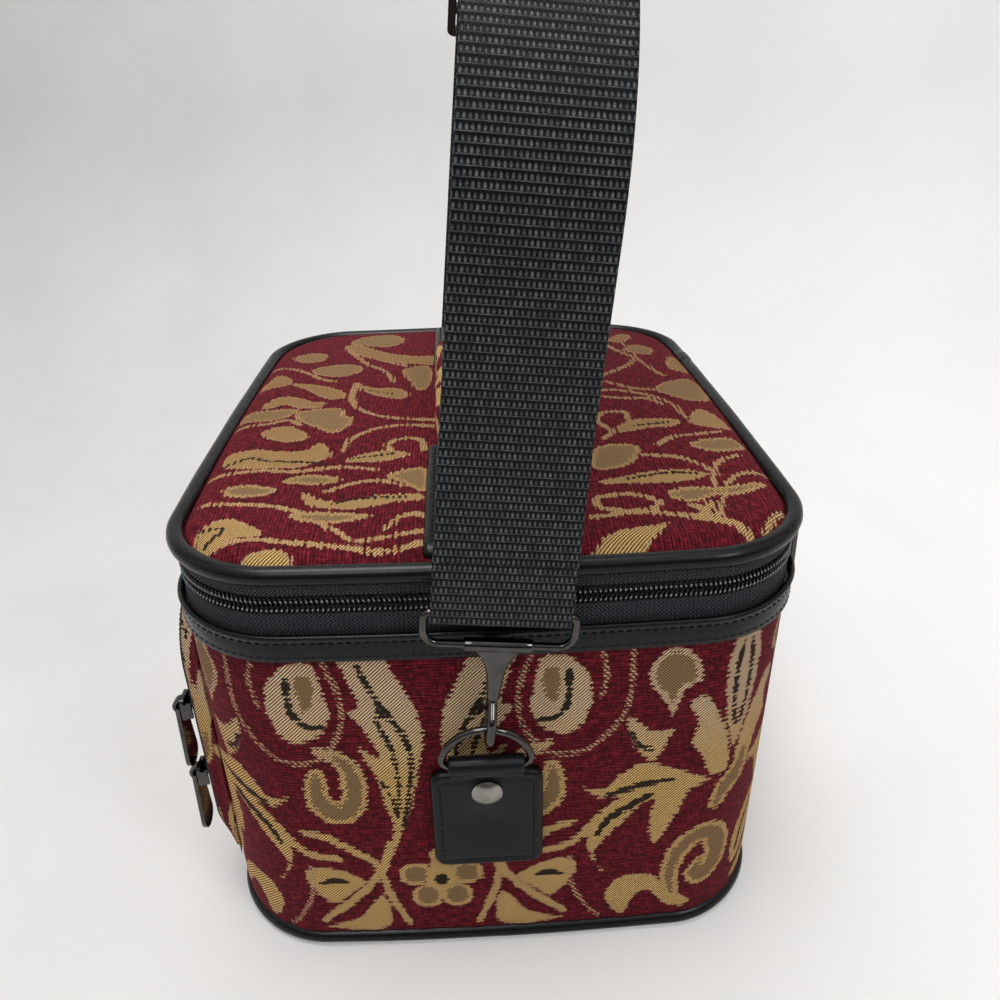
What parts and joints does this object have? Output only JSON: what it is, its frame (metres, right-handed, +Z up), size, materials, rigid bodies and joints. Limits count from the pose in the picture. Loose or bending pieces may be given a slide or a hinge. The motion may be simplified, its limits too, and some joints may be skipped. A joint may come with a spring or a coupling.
{
  "type": "cosmetic bag",
  "caption": "Soft box-shaped cosmetic bag in tapestry cloth with piped edges, a zipped hinged lid, a zipped front pocket, a top handle and a hooked shoulder strap.",
  "frame": {"origin": "centre of the base, on the surface that the bag stands on", "axes": "+Z up, +X to the hinge side at the back, -X to the pocket side, +Y to the far end"},
  "size_m": [0.2095, 0.2552, 0.3213],
  "materials": {
    "tapestry": "chenille jacquard with gold scrolling foliage on wine ground",
    "vinyl": "smooth black coated cloth, satin",
    "lining": "plain black woven lining",
    "zip_tape": "black herringbone tape",
    "zip_coil": "black nylon coil, glossy",
    "webbing": "black ribbed webbing",
    "tab_leather": "smooth charcoal leather, stitched",
    "gunmetal": "polished gunmetal plate",
    "black_plastic": "moulded satin black"
  },
  "bodies": {
    "case": {"base_panel": "vinyl", "body_wall": "tapestry", "body_lining": "lining", "base_piping": "vinyl", "rim_band": "vinyl", "lower_zip_tape": "zip_tape", "lower_zip_coil": "zip_coil", "hinge_strip": "vinyl", "pocket_panel": "tapestry", "pocket_tape": "zip_tape", "pocket_coil": "zip_coil", "near_tab": "tab_leather", "far_tab": "tab_leather", "near_rivet": "gunmetal", "far_rivet": "gunmetal"},
    "lid": {"lid_panel": "tapestry", "lid_lining": "lining", "lid_piping": "vinyl", "upper_zip_tape": "zip_tape", "upper_zip_coil": "zip_coil", "near_handle_band": "vinyl", "far_handle_band": "vinyl", "handle_grip": "tapestry"},
    "strap": {"strap_webbing": "webbing", "strap_adjuster": "black_plastic", "near_hook_socket": "gunmetal", "far_hook_socket": "gunmetal", "near_hook_loop": "gunmetal", "far_hook_loop": "gunmetal"},
    "near_hook": {"near_hook": "gunmetal"},
    "far_hook": {"far_hook": "gunmetal"},
    "near_gate": {"near_gate": "gunmetal"},
    "far_gate": {"far_gate": "gunmetal"},
    "near_d_ring": {"near_d_ring": "gunmetal"},
    "far_d_ring": {"far_d_ring": "gunmetal"},
    "main_slider": {"main_slider": "gunmetal"},
    "main_pull": {"main_pull": "gunmetal"},
    "upper_pocket_slider": {"upper_pocket_slider": "gunmetal"},
    "upper_pocket_pull": {"upper_pocket_pull": "gunmetal"},
    "lower_pocket_slider": {"lower_pocket_slider": "gunmetal"},
    "lower_pocket_pull": {"lower_pocket_pull": "gunmetal"}
  },
  "joints": [
    {"name": "lid_hinge", "type": "hinge", "parent": "case", "child": "lid", "pos_m": [0.098, 0, 0.1439], "axis": [0, 1, 0], "range_deg": [0, 100]},
    {"name": "strap_swing", "type": "hinge", "parent": "case", "child": "strap", "pos_m": [-0.0035, 0, 0.091], "axis": [0, 1, 0], "range_deg": [0, 55]},
    {"name": "near_ring_tilt", "type": "hinge", "parent": "case", "child": "near_d_ring", "pos_m": [-0.0035, -0.1217, 0.091], "axis": [1, 0, 0], "range_deg": [-2, 2]},
    {"name": "near_hook_swivel", "type": "hinge", "parent": "strap", "child": "near_hook", "pos_m": [-0.0035, -0.1217, 0.091], "axis": [0.0958, 0, 0.9954], "range_deg": [-20, 20]},
    {"name": "near_gate_press", "type": "hinge", "parent": "near_hook", "child": "near_gate", "pos_m": [-0.00133, -0.1191, 0.1135], "axis": [-0.9954, 0, 0.0958], "range_deg": [0, 20], "stiffness_Nm_per_rad": 0.004},
    {"name": "far_ring_tilt", "type": "hinge", "parent": "case", "child": "far_d_ring", "pos_m": [-0.0035, 0.1217, 0.091], "axis": [1, 0, 0], "range_deg": [-2, 2]},
    {"name": "far_hook_swivel", "type": "hinge", "parent": "strap", "child": "far_hook", "pos_m": [-0.0035, 0.1217, 0.091], "axis": [0.0958, 0, 0.9954], "range_deg": [-20, 20]},
    {"name": "far_gate_press", "type": "hinge", "parent": "far_hook", "child": "far_gate", "pos_m": [-0.00133, 0.1191, 0.1135], "axis": [0.9954, 0, -0.0958], "range_deg": [0, 20], "stiffness_Nm_per_rad": 0.004},
    {"name": "main_slide", "type": "slide", "parent": "case", "child": "main_slider", "axis": [0, -1, 0], "range_m": [-0.01, 0.003]},
    {"name": "main_pull_swing", "type": "hinge", "parent": "main_slider", "child": "main_pull", "pos_m": [0.0988, -0.074, 0.1439], "axis": [0, -1, 0], "range_deg": [0, 70]},
    {"name": "upper_pocket_slide", "type": "slide", "parent": "case", "child": "upper_pocket_slider", "axis": [0, 0, 1], "range_m": [0, 0.013]},
    {"name": "upper_pocket_pull_swing", "type": "hinge", "parent": "upper_pocket_slider", "child": "upper_pocket_pull", "pos_m": [-0.1063, -0.0808, 0.084], "axis": [0, 1, 0], "range_deg": [0, 70]},
    {"name": "lower_pocket_slide", "type": "slide", "parent": "case", "child": "lower_pocket_slider", "axis": [0, 0, 1], "range_m": [-0.022, 0]},
    {"name": "lower_pocket_pull_swing", "type": "hinge", "parent": "lower_pocket_slider", "child": "lower_pocket_pull", "pos_m": [-0.1063, -0.0808, 0.0535], "axis": [0, 1, 0], "range_deg": [0, 70]}
  ],
  "couplings": [
    {"joint": "strap_swing", "follows": "lid_hinge", "ratio": 0.55}
  ]
}
